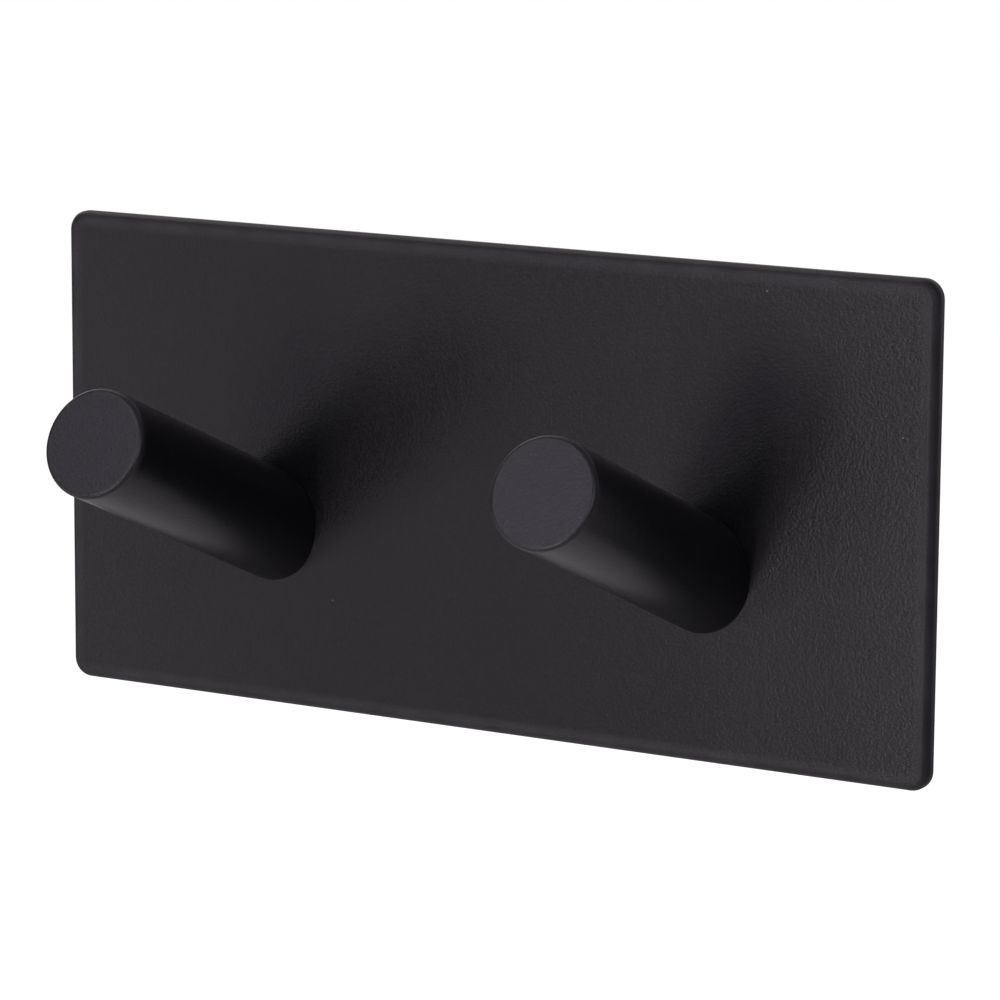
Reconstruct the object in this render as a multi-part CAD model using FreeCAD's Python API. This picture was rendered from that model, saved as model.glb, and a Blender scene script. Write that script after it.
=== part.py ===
import FreeCAD, Part
import math
import os

# Double robe hook, in millimetres: a flat plate with two leaning pegs, each pulled down by a
# countersunk screw from behind, and an adhesive pad that holds the plate on the wall.
# The wall is the plane y = 0 and the room is towards -Y. +X is to the right and +Z is up.
# The origin is the middle of the pad's adhesive face.

# Plate
PLATE_WIDTH = 90.0
PLATE_HEIGHT = 45.0
PLATE_THICKNESS = 1.5
PLATE_CORNER_RADIUS = 1.8
PLATE_FRONT_EDGE_RADIUS = 0.8
PLATE_BACK_EDGE_RADIUS = 0.2

# Adhesive pad behind the plate
PAD_THICKNESS = 1.0
PAD_INSET = 1.5
PAD_CORNER_RADIUS = 1.5

# Pegs: the length runs along the axis from the plate's face to the tip, the tilt is in degrees
# above level, and the drop is from the plate's middle down to the middle of the peg's foot
PEG_DIAMETER = 10.0
PEG_LENGTH = 31.0
PEG_TILT = 22.5
PEG_SPACING = 45.0
PEG_DROP = 5.3
PEG_TIP_EDGE_RADIUS = 0.4
PEG_FOOT_CHAMFER = 0.12

# Countersunk M4 screws with a hexagon socket: the length is overall, head and all
SCREW_DIAMETER = 4.0
SCREW_LENGTH = 8.0
SCREW_HEAD_DIAMETER = 7.5
SCREW_HEAD_ANGLE = 90.0
SCREW_HEAD_LAND = 0.2
SCREW_POINT_CHAMFER = 0.5
SOCKET_ACROSS_FLATS = 2.5
SOCKET_DEPTH = 1.3

# Holes that take the screws
SCREW_CLEARANCE = 0.05
TAPPED_HOLE_SPARE_DEPTH = 0.8
DRILL_POINT_ANGLE = 118.0

# Planes and directions that several pieces share
WALL = 0.0
PLATE_BACK = WALL - PAD_THICKNESS
PLATE_FACE = PLATE_BACK - PLATE_THICKNESS
PEG_ANGLE = math.radians(PEG_TILT)
PEG_AXIS = FreeCAD.Vector(0, -math.cos(PEG_ANGLE), math.sin(PEG_ANGLE))
OUTWARD = FreeCAD.Vector(0, -1, 0)

SCREW_RADIUS = SCREW_DIAMETER / 2
SCREW_CONE_SLOPE = math.tan(math.radians(SCREW_HEAD_ANGLE / 2))
SCREW_CONE_DEPTH = (SCREW_HEAD_DIAMETER / 2 - SCREW_RADIUS) / SCREW_CONE_SLOPE
SCREW_HEAD_DEPTH = SCREW_HEAD_LAND + SCREW_CONE_DEPTH

HEXAGON_SIDES = 6
PLANE_TOLERANCE = 1e-5


def rounded_slab(width, height, thickness, corner_radius, back):
    """A flat plate with round corners, whose back lies at y = back and which grows into the room."""
    slab = Part.makeBox(width, thickness, height,
                        FreeCAD.Vector(-width / 2, back - thickness, -height / 2))
    corners = [edge for edge in slab.Edges if edge.BoundBox.YLength > thickness / 2]
    return slab.makeFillet(corner_radius, corners)


def edges_in_plane(shape, point, normal):
    """The edges that lie in the plane through the point."""
    found = []
    for edge in shape.Edges:
        middle = (edge.FirstParameter + edge.LastParameter) / 2
        samples = [edge.valueAt(place) for place in (edge.FirstParameter, middle, edge.LastParameter)]
        if all(abs((sample - point).dot(normal)) < PLANE_TOLERANCE for sample in samples):
            found.append(edge)
    return found


def turned(profile, place):
    """A solid turned from (radius, depth) points about the line through the place, into the room."""
    points = [place + FreeCAD.Vector(radius, -depth, 0) for radius, depth in profile]
    face = Part.Face(Part.makePolygon(points + points[:1]))
    return face.revolve(place, OUTWARD, 360)


def foot_middle(side):
    """The middle of a peg's foot on the plate's face, with side -1 at the left and 1 at the right."""
    return FreeCAD.Vector(side * PEG_SPACING / 2, PLATE_FACE, -PEG_DROP)


def screw_place(side):
    """The middle of a screw's head, flush with the plate's back.

    The screw stands square to the plate, and half of its reach into the peg lies on the peg's axis,
    so its hole keeps the most metal around it.
    """
    reach = SCREW_LENGTH - PLATE_THICKNESS
    rise = reach / 2 * math.tan(PEG_ANGLE)
    foot = foot_middle(side)
    return FreeCAD.Vector(foot.x, PLATE_BACK, foot.z + rise)


def screw_hole(side):
    """The space that a screw needs: its countersink, its tapped hole and the drill's point."""
    radius = SCREW_RADIUS + SCREW_CLEARANCE
    countersink_radius = radius + SCREW_HEAD_DEPTH * SCREW_CONE_SLOPE
    depth = SCREW_LENGTH + TAPPED_HOLE_SPARE_DEPTH
    point_depth = depth + radius / math.tan(math.radians(DRILL_POINT_ANGLE / 2))
    profile = [
        (0, 0),
        (countersink_radius, 0),
        (radius, SCREW_HEAD_DEPTH),
        (radius, depth),
        (0, point_depth),
    ]
    return turned(profile, screw_place(side))


def back_plate():
    """The plate with its softened edges and a countersunk hole behind each peg."""
    plate = rounded_slab(PLATE_WIDTH, PLATE_HEIGHT, PLATE_THICKNESS, PLATE_CORNER_RADIUS, PLATE_BACK)
    face_edges = edges_in_plane(plate, FreeCAD.Vector(0, PLATE_FACE, 0), OUTWARD)
    plate = plate.makeFillet(PLATE_FRONT_EDGE_RADIUS, face_edges)
    back_edges = edges_in_plane(plate, FreeCAD.Vector(0, PLATE_BACK, 0), OUTWARD)
    plate = plate.makeFillet(PLATE_BACK_EDGE_RADIUS, back_edges)
    return plate.cut([screw_hole(side) for side in (-1, 1)])


def adhesive_pad():
    """The foam pad, a little smaller than the plate, sticky on both faces."""
    return rounded_slab(PLATE_WIDTH - 2 * PAD_INSET, PLATE_HEIGHT - 2 * PAD_INSET,
                        PAD_THICKNESS, PAD_CORNER_RADIUS, WALL)


def peg(side):
    """A round bar cut square at its tip and to the plate's face at its foot, tapped for its screw."""
    radius = PEG_DIAMETER / 2
    foot = foot_middle(side)
    tip = foot + PEG_AXIS * PEG_LENGTH

    # The bar starts far enough behind the plate's face for the slanted foot to be cut whole
    overrun = PEG_DIAMETER * math.tan(PEG_ANGLE)
    bar = Part.makeCylinder(radius, PEG_LENGTH + overrun, foot - PEG_AXIS * overrun, PEG_AXIS)
    waste_size = 2 * (PEG_DIAMETER + overrun)
    waste_corner = foot - FreeCAD.Vector(waste_size / 2, 0, waste_size / 2)
    bar = bar.cut(Part.makeBox(waste_size, waste_size, waste_size, waste_corner))

    bar = bar.makeFillet(PEG_TIP_EDGE_RADIUS, edges_in_plane(bar, tip, PEG_AXIS))
    bar = bar.makeChamfer(PEG_FOOT_CHAMFER, edges_in_plane(bar, foot, OUTWARD))
    return bar.cut(screw_hole(side))


def peg_screw(side):
    """A countersunk screw with a hexagon socket, its head flush with the plate's back."""
    profile = [
        (0, 0),
        (SCREW_HEAD_DIAMETER / 2, 0),
        (SCREW_HEAD_DIAMETER / 2, SCREW_HEAD_LAND),
        (SCREW_RADIUS, SCREW_HEAD_DEPTH),
        (SCREW_RADIUS, SCREW_LENGTH - SCREW_POINT_CHAMFER),
        (SCREW_RADIUS - SCREW_POINT_CHAMFER, SCREW_LENGTH),
        (0, SCREW_LENGTH),
    ]
    place = screw_place(side)
    corner_reach = SOCKET_ACROSS_FLATS / 2 / math.cos(math.pi / HEXAGON_SIDES)
    corners = []
    for number in range(HEXAGON_SIDES):
        angle = 2 * math.pi * number / HEXAGON_SIDES
        corners.append(place + FreeCAD.Vector(math.cos(angle), 0, math.sin(angle)) * corner_reach)
    socket = Part.Face(Part.makePolygon(corners + corners[:1])).extrude(OUTWARD * SOCKET_DEPTH)
    return turned(profile, place).cut(socket)


def save(name, shape):
    """Write one sub-part as a single valid solid."""
    solid = shape.Solids[0]
    assert len(shape.Solids) == 1 and solid.isValid() and solid.isClosed(), name
    solid.exportStep(f"parts/{name}.step")
    print(f"{name}: {solid.Volume:.2f} mm3")


os.makedirs("parts", exist_ok=True)
save("adhesive_pad", adhesive_pad())
save("back_plate", back_plate())
for side_name, side in (("left", -1), ("right", 1)):
    save(f"{side_name}_peg", peg(side))
    save(f"{side_name}_peg_screw", peg_screw(side))
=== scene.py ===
import math

import bpy
from mathutils import Matrix, Vector


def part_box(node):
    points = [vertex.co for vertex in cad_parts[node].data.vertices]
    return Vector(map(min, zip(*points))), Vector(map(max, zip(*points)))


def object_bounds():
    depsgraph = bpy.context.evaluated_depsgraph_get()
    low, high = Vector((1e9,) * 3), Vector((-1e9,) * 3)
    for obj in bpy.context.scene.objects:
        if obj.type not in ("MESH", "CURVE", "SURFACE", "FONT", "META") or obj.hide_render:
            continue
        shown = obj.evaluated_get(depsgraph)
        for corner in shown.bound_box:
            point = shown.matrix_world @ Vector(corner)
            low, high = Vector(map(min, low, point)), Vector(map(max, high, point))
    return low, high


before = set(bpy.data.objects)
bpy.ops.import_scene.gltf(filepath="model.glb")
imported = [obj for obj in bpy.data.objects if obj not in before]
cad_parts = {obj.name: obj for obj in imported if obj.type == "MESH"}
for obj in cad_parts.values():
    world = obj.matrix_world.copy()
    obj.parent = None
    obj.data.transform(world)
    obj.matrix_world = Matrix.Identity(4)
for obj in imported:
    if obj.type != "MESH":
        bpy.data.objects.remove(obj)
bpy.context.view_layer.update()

# Looks for the double robe hook: a matt black powder coat, a foam pad and plated screws, in a
# white studio seen from the photograph's angle. Lengths are in metres, and angles in degrees.
# An azimuth says where round the hook a thing stands: 0 is in front, at -Y, and 90 is at +X.
MM = 0.001

# Camera, as solved from the photograph, with its lens and sensor in millimetres
CAMERA_AZIMUTH = 29.64
CAMERA_ELEVATION = 10.69
CAMERA_ROLL = 0.37
CAMERA_DISTANCE = 422.25 * MM
CAMERA_TARGET = Vector((1.34, -1.0, -1.0)) * MM
CAMERA_LENS = 167.4
SENSOR_WIDTH = 36.0

# World: a radiance of 1 is white, and the room ends at a depth, the Y of a ray's direction
WHITE = 1.0
ROOM_RADIANCE = 0.25
ROOM_COLOUR = (1.0, 0.96, 1.03)
ROOM_ENDS = 0.65
BACKDROP_STARTS = 0.95

# Floor: the lift is light that only the camera sees
FLOOR_SIZE = 6.0
FLOOR_DROP = 0.45
FLOOR_COLOUR = (0.88, 0.88, 0.88)
FLOOR_LIFT = 0.8

# Soft boxes: azimuth, elevation, distance, width, height, radiance, colour
SOFT_BOXES = {
    "high_left_box": (-33, 33, 1.1, 0.55, 0.45, 1.58, (0.9, 0.87, 1.0)),
    "top_left_box": (-110, 62, 1.1, 0.6, 0.5, 2.0, (1.0, 0.93, 0.9)),
    "left_box": (-52, -12, 0.8, 0.2, 0.4, 2.2, (0.97, 1.0, 0.9)),
    "left_fill": (-37, -10, 0.8, 0.2, 0.4, 0.63, (0.95, 0.87, 1.0)),
    "high_strip": (-24, 14, 0.8, 0.07, 0.36, 6.3, (0.95, 0.96, 1.0)),
    "middle_strip": (-14, 14, 0.8, 0.07, 0.36, 4.8, (0.92, 0.78, 1.0)),
    "low_strip": (-14, -12, 0.8, 0.07, 0.36, 5.6, (1.0, 0.98, 0.89)),
    "front_box": (-4, -10, 0.8, 0.1, 0.4, 9.7, (1.0, 0.96, 0.97)),
    "high_right_box": (32, 26, 1.0, 0.9, 0.3, 3.0, (0.87, 0.85, 1.0)),
    "back_left_box": (-120, 20, 1.0, 0.4, 0.8, 1.6, (1.0, 0.9, 0.9)),
}

# Cycles makes an area lamp's radiance from its watts, divided by this factor and by its area
WATTS_FACTOR = 4

# Inputs and output of the Mix node that hold colours
MIX_FIRST = 6
MIX_SECOND = 7
MIX_RESULT = 2

# Patterns: noise mostly stays between its ends, and a dot is full in a share of its radius
CLOUD_ENDS = (0.3, 0.7)
GRAIN_ENDS = (0.2, 0.8)
DOT_CORE = 0.5

# Powder coat
COAT_COLOUR = (0.0042, 0.0039, 0.0044)
COAT_DARKEST = 0.7
COAT_LIGHTEST = 1.5
COAT_SPECULAR = 0.25
COAT_TINT = (0.97, 0.92, 1.0)
COAT_ROUGHNESS = 0.29
COAT_ROUGHNESS_SPREAD = 0.01
GRAIN_SIZE = 0.26 * MM
GRAIN_HEIGHT = 0.018 * MM
PEEL_SIZE = 1.6 * MM
PEEL_HEIGHT = 0.004 * MM
CLOUD_SIZE = 15.0 * MM
CLOUD_ROUGHNESS_SPREAD = 0.01
NIB_SPACING = 2.6 * MM
NIB_SIZE = 0.12 * MM
NIB_HEIGHT = 0.02 * MM
NIB_SHARE = 0.2
NIB_COLOUR = (0.09, 0.088, 0.092)

# Rims: the coat is rougher there, and lighter in patches, partly rubbed by hands and towels and
# partly a painted highlight. The ring at each peg's foot seam is a painted highlight.
PLATE_RIM_WIDTH = 1.6 * MM
PLATE_RIM_ROUGHNESS = 0.5
PEG_RIM_WIDTH = 0.8 * MM
PEG_RIM_ROUGHNESS = 0.36
FOOT_HIGHLIGHT_WIDTH = 0.2 * MM
WEAR_AND_HIGHLIGHT_PATCH = 3.0 * MM
WEAR_AND_HIGHLIGHT_ENDS = (0.35, 0.65)
LEAST_WEAR_AND_HIGHLIGHT = 0.3
# Pale colour of the rims: partly wear, partly a painted highlight; on the foot seam it is a painted
# highlight only
WORN_AND_HIGHLIGHT_COLOUR = (0.014, 0.0133, 0.0144)

# How far above level the pegs lean in the CAD
PEG_TILT = 22.5

# Zinc plate on turned steel: a share of the screw has a thread, and its grooves are darker
ZINC_COLOUR = (0.60, 0.60, 0.62)
ZINC_YELLOW = (0.56, 0.53, 0.45)
ZINC_DARK = (0.38, 0.38, 0.40)
ZINC_ROUGHNESS = 0.34
BLOOM_ROUGHNESS = 0.44
BLOOM_ENDS = (0.4, 0.65)
TURNING_PITCH = 0.16 * MM
TURNING_HEIGHT = 0.01 * MM
ZINC_PATCH = 1.2 * MM
THREAD_PITCH = 0.7 * MM
THREAD_HEIGHT = 0.22 * MM
THREADED_SHARE = 0.7
GROOVE_SHARE = 0.5

# Foam tape: glue coats the faces whose normal lies along Y by more than GLUE_FACING
FOAM_COLOUR = (0.10, 0.10, 0.105)
FOAM_LIGHT = (0.15, 0.15, 0.155)
FOAM_ROUGHNESS = 0.85
FOAM_CELL = 0.16 * MM
FOAM_CELL_DEPTH = 0.06 * MM
FOAM_CELL_ENDS = (0.1, 0.7)
GLUE_COLOUR = (0.065, 0.065, 0.07)
GLUE_DARKEST = 0.85
GLUE_LIGHTEST = 1.25
GLUE_ROUGHNESS = 0.42
GLUE_ROUGHNESS_SPREAD = 0.07
GLUE_MOTTLE = 8 * FOAM_CELL
GLUE_FACING = 0.7
GLUE_RIPPLE = 7.0 * MM
GLUE_RIPPLE_HEIGHT = 0.05 * MM
BUBBLE_SPACING = 1.1 * MM
BUBBLE_SIZE = 0.16 * MM
BUBBLE_SHARE = 0.35
BUBBLE_HEIGHT = 0.03 * MM


def add_node(tree, kind, inputs=None, **settings):
    """A node with its settings, and each named input linked to a socket or set to a value."""
    node = tree.nodes.new(kind)
    for name, value in settings.items():
        setattr(node, name, value)
    for name, value in (inputs or {}).items():
        if isinstance(value, bpy.types.NodeSocket):
            tree.links.new(value, node.inputs[name])
        else:
            node.inputs[name].default_value = value
    return node


def math_node(tree, operation, first, second=0.0):
    """The result of one step of arithmetic on sockets or numbers."""
    node = add_node(tree, "ShaderNodeMath", {0: first, 1: second}, operation=operation)
    return node.outputs["Value"]


def vector_math(tree, operation, first, second=(0, 0, 0), output="Vector"):
    """The result of one step of arithmetic on vectors."""
    node = add_node(tree, "ShaderNodeVectorMath", {0: first, 1: second}, operation=operation)
    return node.outputs[output]


def split(tree, vector):
    """The vector's three numbers."""
    return add_node(tree, "ShaderNodeSeparateXYZ", {"Vector": vector}).outputs


def remap(tree, value, low, high, new_low, new_high):
    """The value stretched from low and high to new_low and new_high, and held between them."""
    node = add_node(tree, "ShaderNodeMapRange",
                    {"Value": value, "From Min": low, "From Max": high,
                     "To Min": new_low, "To Max": new_high})
    return node.outputs["Result"]


def with_alpha(colour):
    """The colour's three numbers and a full alpha. A socket stays as it is."""
    return colour if isinstance(colour, bpy.types.NodeSocket) else (*colour, 1)


def blend_colours(tree, factor, first, second):
    """The first colour where the factor is 0, and the second where it is 1."""
    node = add_node(tree, "ShaderNodeMix",
                    {"Factor": factor, MIX_FIRST: with_alpha(first),
                     MIX_SECOND: with_alpha(second)}, data_type="RGBA")
    return node.outputs[MIX_RESULT]


def noise(tree, where, size, detail):
    """Noise from 0 to 1 with lumps about as large as the size. The detail adds finer ones."""
    node = add_node(tree, "ShaderNodeTexNoise",
                    {"Vector": where, "Scale": 1 / size, "Detail": detail})
    return node.outputs["Fac"]


def shades(colour, darkest, lightest):
    """The colour made darker and lighter by two factors."""
    return [channel * darkest for channel in colour], [channel * lightest for channel in colour]


def dots(tree, where, spacing, size, share):
    """1 on scattered round dots and 0 between them. Only a share of the places has one."""
    cell = add_node(tree, "ShaderNodeTexVoronoi", {"Vector": where, "Scale": 1 / spacing})
    radius = size / spacing
    inside = remap(tree, cell.outputs["Distance"], radius, DOT_CORE * radius, 0.0, 1.0)
    chance = add_node(tree, "ShaderNodeSeparateColor", {"Color": cell.outputs["Color"]})
    chosen = math_node(tree, "LESS_THAN", chance.outputs["Red"], share)
    return math_node(tree, "MULTIPLY", inside, chosen)


def bump(tree, height, distance, normal=None):
    """A bump whose full height is the distance, on top of the normal that is given."""
    inputs = {"Height": height, "Strength": 1.0, "Distance": distance}
    if normal is not None:
        inputs["Normal"] = normal
    return add_node(tree, "ShaderNodeBump", inputs).outputs["Normal"]


def new_material(name):
    """An empty node material."""
    material = bpy.data.materials.new(name)
    material.use_nodes = True
    material.node_tree.nodes.clear()
    return material


def finish_material(material, shader):
    """The material with the shader on its surface."""
    output = add_node(material.node_tree, "ShaderNodeOutputMaterial")
    material.node_tree.links.new(shader, output.inputs["Surface"])
    return material


def object_place(tree):
    """Where a point lies on the hook, in metres."""
    return add_node(tree, "ShaderNodeTexCoord").outputs["Object"]


def on_right_half(tree, where):
    """The same place on the right half of the hook, whose left half is its mirror image."""
    parts = split(tree, where)
    across = math_node(tree, "ABSOLUTE", parts["X"])
    return add_node(tree, "ShaderNodeCombineXYZ",
                    {"X": across, "Y": parts["Y"], "Z": parts["Z"]}).outputs["Vector"]


def plate_rim(tree, where):
    """1 along the plate's outline, fading to 0 on its face."""
    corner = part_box("back_plate")[1]
    parts = split(tree, where)
    beyond_side = math_node(tree, "SUBTRACT", math_node(tree, "ABSOLUTE", parts["X"]), corner.x)
    beyond_top = math_node(tree, "SUBTRACT", math_node(tree, "ABSOLUTE", parts["Z"]), corner.z)
    nearest = math_node(tree, "MAXIMUM", beyond_side, beyond_top)
    return remap(tree, nearest, -PLATE_RIM_WIDTH, -PLATE_RIM_WIDTH / 2, 0.0, 1.0)


def peg_rim(tree, where):
    """1 round the rim of each peg's tip and along its seam with the plate, and 0 between them. The
    seam's ring is where the coat paints a highlight.
    """
    low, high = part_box("right_peg")
    radius = (high.x - low.x) / 2
    tilt = math.radians(PEG_TILT)
    axis = Vector((0, -math.cos(tilt), math.sin(tilt)))
    tip = Vector(((low.x + high.x) / 2, low.y + radius * axis.z, high.z + radius * axis.y))
    from_tip = vector_math(tree, "SUBTRACT", on_right_half(tree, where), tip)
    along = vector_math(tree, "DOT_PRODUCT", from_tip, axis, "Value")
    sideways = vector_math(tree, "CROSS_PRODUCT", from_tip, axis)
    from_axis = vector_math(tree, "LENGTH", sideways, output="Value")
    nearest = math_node(tree, "MINIMUM", along, math_node(tree, "SUBTRACT", from_axis, radius))
    at_tip = remap(tree, nearest, -PEG_RIM_WIDTH, -PEG_RIM_WIDTH / 2, 0.0, 1.0)
    depth = split(tree, where)["Y"]
    # Painted highlight: a thin pale ring along each peg's seam with the plate, standing in for
    # light caught by the small chamfer at the foot
    foot_highlight_ring = remap(tree, depth, high.y - FOOT_HIGHLIGHT_WIDTH, high.y, 0.0, 1.0)
    return math_node(tree, "MAXIMUM", at_tip, foot_highlight_ring)


def coat_roughness(tree, where, grain, edge, rim_roughness):
    """The coat's roughness: a little from the grain, slow changes of gloss, and rougher rims."""
    low = COAT_ROUGHNESS - COAT_ROUGHNESS_SPREAD
    high = COAT_ROUGHNESS + COAT_ROUGHNESS_SPREAD
    roughness = remap(tree, grain, *GRAIN_ENDS, low, high)
    cloud = noise(tree, where, CLOUD_SIZE, detail=3.0)
    drift = remap(tree, cloud, *CLOUD_ENDS, -CLOUD_ROUGHNESS_SPREAD, CLOUD_ROUGHNESS_SPREAD)
    roughness = math_node(tree, "ADD", roughness, drift)
    gain = math_node(tree, "MULTIPLY", edge, rim_roughness - COAT_ROUGHNESS)
    return math_node(tree, "ADD", roughness, gain)


def coat_colour(tree, where, grain, edge, nibs):
    """The coat's colour: mottled by the grain, paler along the rims as wear and as a painted
    highlight, and pale on the nibs.
    """
    dark, light = shades(COAT_COLOUR, COAT_DARKEST, COAT_LIGHTEST)
    colour = blend_colours(tree, remap(tree, grain, *GRAIN_ENDS, 0.0, 1.0), dark, light)
    # Painted highlight and wear: the rims and the foot seams are made paler in patches
    patches = noise(tree, where, WEAR_AND_HIGHLIGHT_PATCH, detail=3.0)
    wear_and_highlight = math_node(tree, "MULTIPLY", edge, remap(tree, patches, *WEAR_AND_HIGHLIGHT_ENDS, LEAST_WEAR_AND_HIGHLIGHT, 1.0))
    colour = blend_colours(tree, wear_and_highlight, colour, WORN_AND_HIGHLIGHT_COLOUR)
    return blend_colours(tree, nibs, colour, NIB_COLOUR)


def powder_coat(name, rim, rim_roughness):
    """Matt black powder coat: fine grain over faint orange peel, a few dust nibs, and pale rims
    that are partly wear and partly a painted highlight.
    """
    material = new_material(name)
    tree = material.node_tree
    where = object_place(tree)
    peel = noise(tree, where, PEEL_SIZE, detail=1.0)
    grain = noise(tree, where, GRAIN_SIZE, detail=1.0)
    nibs = dots(tree, where, NIB_SPACING, NIB_SIZE, NIB_SHARE)
    edge = rim(tree, where)

    roughness = coat_roughness(tree, where, grain, edge, rim_roughness)
    colour = coat_colour(tree, where, grain, edge, nibs)
    normal = bump(tree, peel, PEEL_HEIGHT)
    normal = bump(tree, grain, GRAIN_HEIGHT, normal)
    normal = bump(tree, nibs, NIB_HEIGHT, normal)
    shader = add_node(tree, "ShaderNodeBsdfPrincipled",
                      {"Base Color": colour, "Roughness": roughness, "Normal": normal,
                       "Specular IOR Level": COAT_SPECULAR,
                       "Specular Tint": with_alpha(COAT_TINT)})
    return finish_material(material, shader.outputs["BSDF"])


def turned_rings(tree, parts):
    """Fine rings round the screw's axis, from 0 to 1, as a lathe leaves them."""
    flat = add_node(tree, "ShaderNodeCombineXYZ", {"X": parts["X"], "Z": parts["Z"]})
    radius = vector_math(tree, "LENGTH", flat.outputs["Vector"], output="Value")
    turns = math_node(tree, "DIVIDE", math_node(tree, "ADD", radius, parts["Y"]), TURNING_PITCH)
    return math_node(tree, "PINGPONG", turns, 1.0)


def screw_thread(tree, parts, on_shank):
    """The thread's height, from 0 in its grooves to 1 on its crests, and 0 off the shank."""
    angle = math_node(tree, "ARCTAN2", parts["Z"], parts["X"])
    part_turn = math_node(tree, "DIVIDE", angle, 2 * math.pi)
    lead = math_node(tree, "ADD", math_node(tree, "DIVIDE", parts["Y"], THREAD_PITCH), part_turn)
    thread = math_node(tree, "PINGPONG", math_node(tree, "MULTIPLY", lead, 2.0), 1.0)
    return math_node(tree, "MULTIPLY", thread, on_shank)


def zinc_colour(tree, bloom, thread, on_shank):
    """The plating's colour: yellow where it blooms, and darker in the thread's grooves."""
    groove = remap(tree, thread, GROOVE_SHARE, 0.0, 0.0, 1.0)
    # Darker colour in the thread's grooves on the shank
    dark_grooves = math_node(tree, "MULTIPLY", groove, on_shank)
    colour = blend_colours(tree, bloom, ZINC_COLOUR, ZINC_YELLOW)
    return blend_colours(tree, dark_grooves, colour, ZINC_DARK)


def plated_steel():
    """Zinc plate on turned steel: rings on the head, a thread on the shank and a yellow bloom."""
    material = new_material("plated_steel")
    tree = material.node_tree
    where = object_place(tree)
    low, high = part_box("right_peg_screw")
    middle = (low + high) / 2
    from_axis = vector_math(tree, "SUBTRACT", on_right_half(tree, where), (middle.x, 0, middle.z))
    parts = split(tree, from_axis)
    thread_end = low.y + (high.y - low.y) * THREADED_SHARE
    on_shank = math_node(tree, "LESS_THAN", parts["Y"], thread_end)
    thread = screw_thread(tree, parts, on_shank)
    bloom = remap(tree, noise(tree, where, ZINC_PATCH, detail=4.0), *BLOOM_ENDS, 0.0, 1.0)

    colour = zinc_colour(tree, bloom, thread, on_shank)
    roughness = remap(tree, bloom, 0.0, 1.0, ZINC_ROUGHNESS, BLOOM_ROUGHNESS)
    normal = bump(tree, turned_rings(tree, parts), TURNING_HEIGHT)
    normal = bump(tree, thread, THREAD_HEIGHT, normal)
    shader = add_node(tree, "ShaderNodeBsdfPrincipled",
                      {"Base Color": colour, "Metallic": 1.0,
                       "Roughness": roughness, "Normal": normal})
    return finish_material(material, shader.outputs["BSDF"])


def glue_look(tree, where, bubbles):
    """The glue's colour and its roughness, both mottled, with pale bubbles in the colour."""
    mottle = noise(tree, where, GLUE_MOTTLE, detail=4.0)
    dark, light = shades(GLUE_COLOUR, GLUE_DARKEST, GLUE_LIGHTEST)
    colour = blend_colours(tree, remap(tree, mottle, *CLOUD_ENDS, 0.0, 1.0), dark, light)
    colour = blend_colours(tree, bubbles, colour, FOAM_LIGHT)
    low = GLUE_ROUGHNESS - GLUE_ROUGHNESS_SPREAD
    high = GLUE_ROUGHNESS + GLUE_ROUGHNESS_SPREAD
    return colour, remap(tree, mottle, *CLOUD_ENDS, low, high)


def foam_tape():
    """Dark acrylic foam: glue with ripples and bubbles on its faces, open cells on its cut edge."""
    material = new_material("foam_tape")
    tree = material.node_tree
    where = object_place(tree)
    normal = add_node(tree, "ShaderNodeTexCoord").outputs["Normal"]
    facing_wall = math_node(tree, "ABSOLUTE", split(tree, normal)["Y"])
    glue = math_node(tree, "GREATER_THAN", facing_wall, GLUE_FACING)
    foam = math_node(tree, "SUBTRACT", 1.0, glue)
    foam_cells = add_node(tree, "ShaderNodeTexVoronoi", {"Vector": where, "Scale": 1 / FOAM_CELL})
    cells = foam_cells.outputs["Distance"]
    ripple = noise(tree, where, GLUE_RIPPLE, detail=3.0)
    bubbles = dots(tree, where, BUBBLE_SPACING, BUBBLE_SIZE, BUBBLE_SHARE)
    bubbles = math_node(tree, "MULTIPLY", bubbles, glue)

    open_cells = remap(tree, cells, *FOAM_CELL_ENDS, 0.0, 1.0)
    foam_colour = blend_colours(tree, open_cells, FOAM_COLOUR, FOAM_LIGHT)
    glue_colour, glue_roughness = glue_look(tree, where, bubbles)
    colour = blend_colours(tree, glue, foam_colour, glue_colour)
    roughness = add_node(tree, "ShaderNodeMix",
                         {"Factor": glue, "A": FOAM_ROUGHNESS, "B": glue_roughness})
    surface = bump(tree, math_node(tree, "MULTIPLY", ripple, glue), GLUE_RIPPLE_HEIGHT)
    surface = bump(tree, bubbles, BUBBLE_HEIGHT, surface)
    surface = bump(tree, math_node(tree, "MULTIPLY", cells, foam), FOAM_CELL_DEPTH, surface)
    shader = add_node(tree, "ShaderNodeBsdfPrincipled",
                      {"Base Color": colour, "Roughness": roughness.outputs["Result"],
                       "Normal": surface})
    return finish_material(material, shader.outputs["BSDF"])


def dress(material, names):
    """Give the CAD nodes this material in place of their own."""
    for name in names:
        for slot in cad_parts[name].material_slots:
            slot.material = material


def around(azimuth, elevation):
    """The direction from the hook to a place round it."""
    turn, rise = math.radians(azimuth), math.radians(elevation)
    level = math.cos(rise)
    return Vector((math.sin(turn) * level, -math.cos(turn) * level, math.sin(rise)))


def add_object(name, data):
    """A new object in the scene that holds the data."""
    thing = bpy.data.objects.new(name, data)
    bpy.context.scene.collection.objects.link(thing)
    return thing


def add_camera():
    """A camera that stands where the photograph was taken."""
    back = around(CAMERA_AZIMUTH, CAMERA_ELEVATION)
    right = Vector((0, 0, 1)).cross(back).normalized()
    up = back.cross(right)
    roll = Matrix.Rotation(math.radians(CAMERA_ROLL), 3, back)
    lens = bpy.data.cameras.new("photo_camera")
    lens.sensor_width = SENSOR_WIDTH
    lens.lens = CAMERA_LENS
    camera = add_object("photo_camera", lens)
    place = Matrix((roll @ right, roll @ up, back)).transposed().to_4x4()
    place.translation = CAMERA_TARGET + back * CAMERA_DISTANCE
    camera.matrix_world = place
    bpy.context.scene.camera = camera


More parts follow.
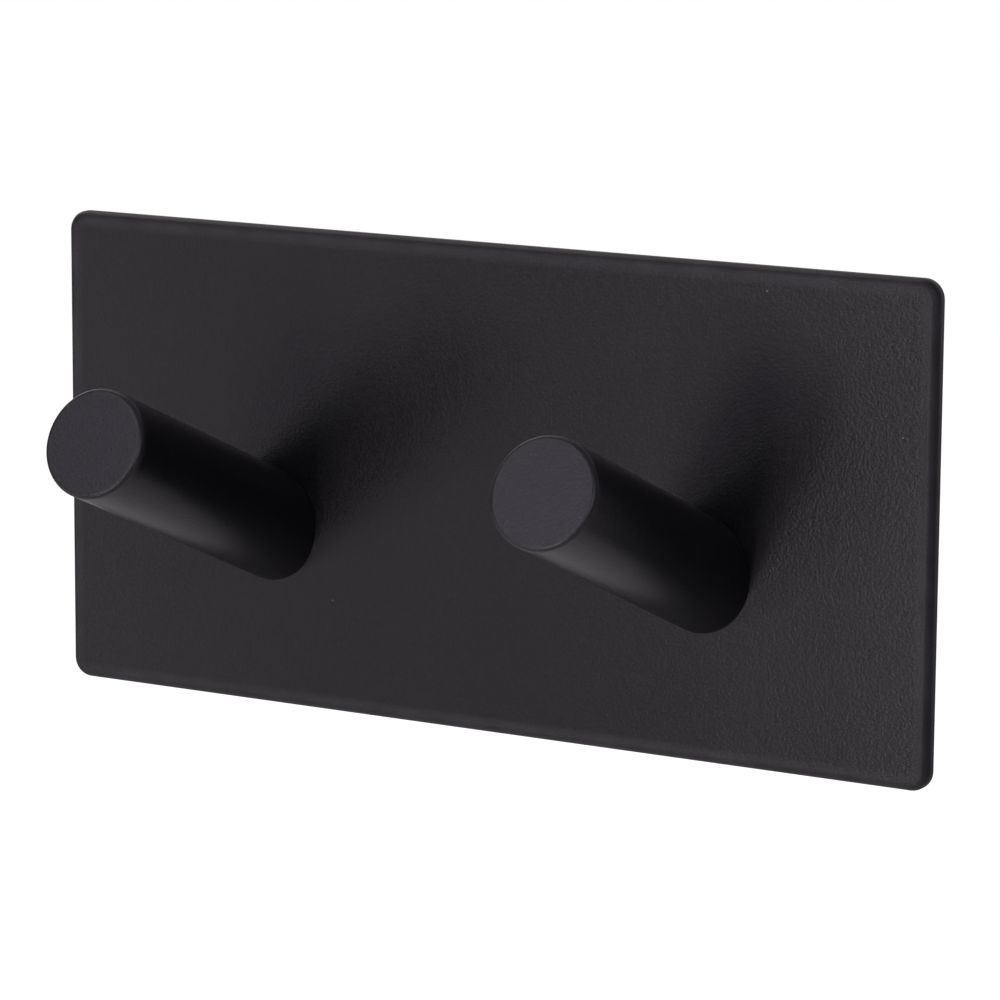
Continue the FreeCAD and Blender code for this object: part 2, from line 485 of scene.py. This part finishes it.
def add_world():
    """A dim room in front of the hook and a white backdrop behind it, all white to the camera."""
    world = bpy.data.worlds.new("studio")
    bpy.context.scene.world = world
    world.use_nodes = True
    tree = world.node_tree
    tree.nodes.clear()
    to_camera = add_node(tree, "ShaderNodeLightPath").outputs["Is Camera Ray"]
    direction = add_node(tree, "ShaderNodeTexCoord").outputs["Generated"]
    depth = split(tree, direction)["Y"]
    room = remap(tree, depth, ROOM_ENDS, BACKDROP_STARTS, ROOM_RADIANCE, WHITE)
    radiance = add_node(tree, "ShaderNodeMix", {"Factor": to_camera, "A": room, "B": WHITE})
    colour = blend_colours(tree, to_camera, ROOM_COLOUR, (1, 1, 1))
    light = add_node(tree, "ShaderNodeBackground",
                     {"Color": colour, "Strength": radiance.outputs["Result"]})
    output = add_node(tree, "ShaderNodeOutputWorld")
    tree.links.new(light.outputs["Background"], output.inputs["Surface"])


def add_floor():
    """A pale floor below the hook. It looks white to the camera where nothing shades it."""
    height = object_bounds()[0].z - FLOOR_DROP
    half = FLOOR_SIZE / 2
    corners = [(-half, -half, height), (half, -half, height),
               (half, half, height), (-half, half, height)]
    mesh = bpy.data.meshes.new("floor")
    mesh.from_pydata(corners, [], [(0, 1, 2, 3)])
    floor = add_object("floor", mesh)
    material = new_material("pale_floor")
    tree = material.node_tree
    to_camera = add_node(tree, "ShaderNodeLightPath").outputs["Is Camera Ray"]
    lift = math_node(tree, "MULTIPLY", to_camera, FLOOR_LIFT)
    paint = add_node(tree, "ShaderNodeBsdfDiffuse", {"Color": with_alpha(FLOOR_COLOUR)})
    glow = add_node(tree, "ShaderNodeEmission", {"Color": (1, 1, 1, 1), "Strength": lift})
    both = add_node(tree, "ShaderNodeAddShader",
                    {0: paint.outputs["BSDF"], 1: glow.outputs["Emission"]})
    mesh.materials.append(finish_material(material, both.outputs["Shader"]))


def add_soft_box(name, azimuth, elevation, distance, width, height, radiance, colour):
    """A soft box that stands round the hook and faces it."""
    lamp = bpy.data.lights.new(name, "AREA")
    lamp.shape = "RECTANGLE"
    lamp.size = width
    lamp.size_y = height
    lamp.energy = WATTS_FACTOR * radiance * width * height
    lamp.color = colour
    holder = add_object(name, lamp)
    direction = around(azimuth, elevation)
    holder.location = direction * distance
    holder.rotation_euler = direction.to_track_quat("Z", "Y").to_euler()


bpy.context.scene.view_settings.view_transform = "Standard"
add_camera()
dress(powder_coat("plate_coating", plate_rim, PLATE_RIM_ROUGHNESS), ["back_plate"])
dress(powder_coat("peg_coating", peg_rim, PEG_RIM_ROUGHNESS), ["left_peg", "right_peg"])
dress(plated_steel(), ["left_peg_screw", "right_peg_screw"])
dress(foam_tape(), ["adhesive_pad"])
add_world()
add_floor()
for box_name, box_facts in SOFT_BOXES.items():
    add_soft_box(box_name, *box_facts)
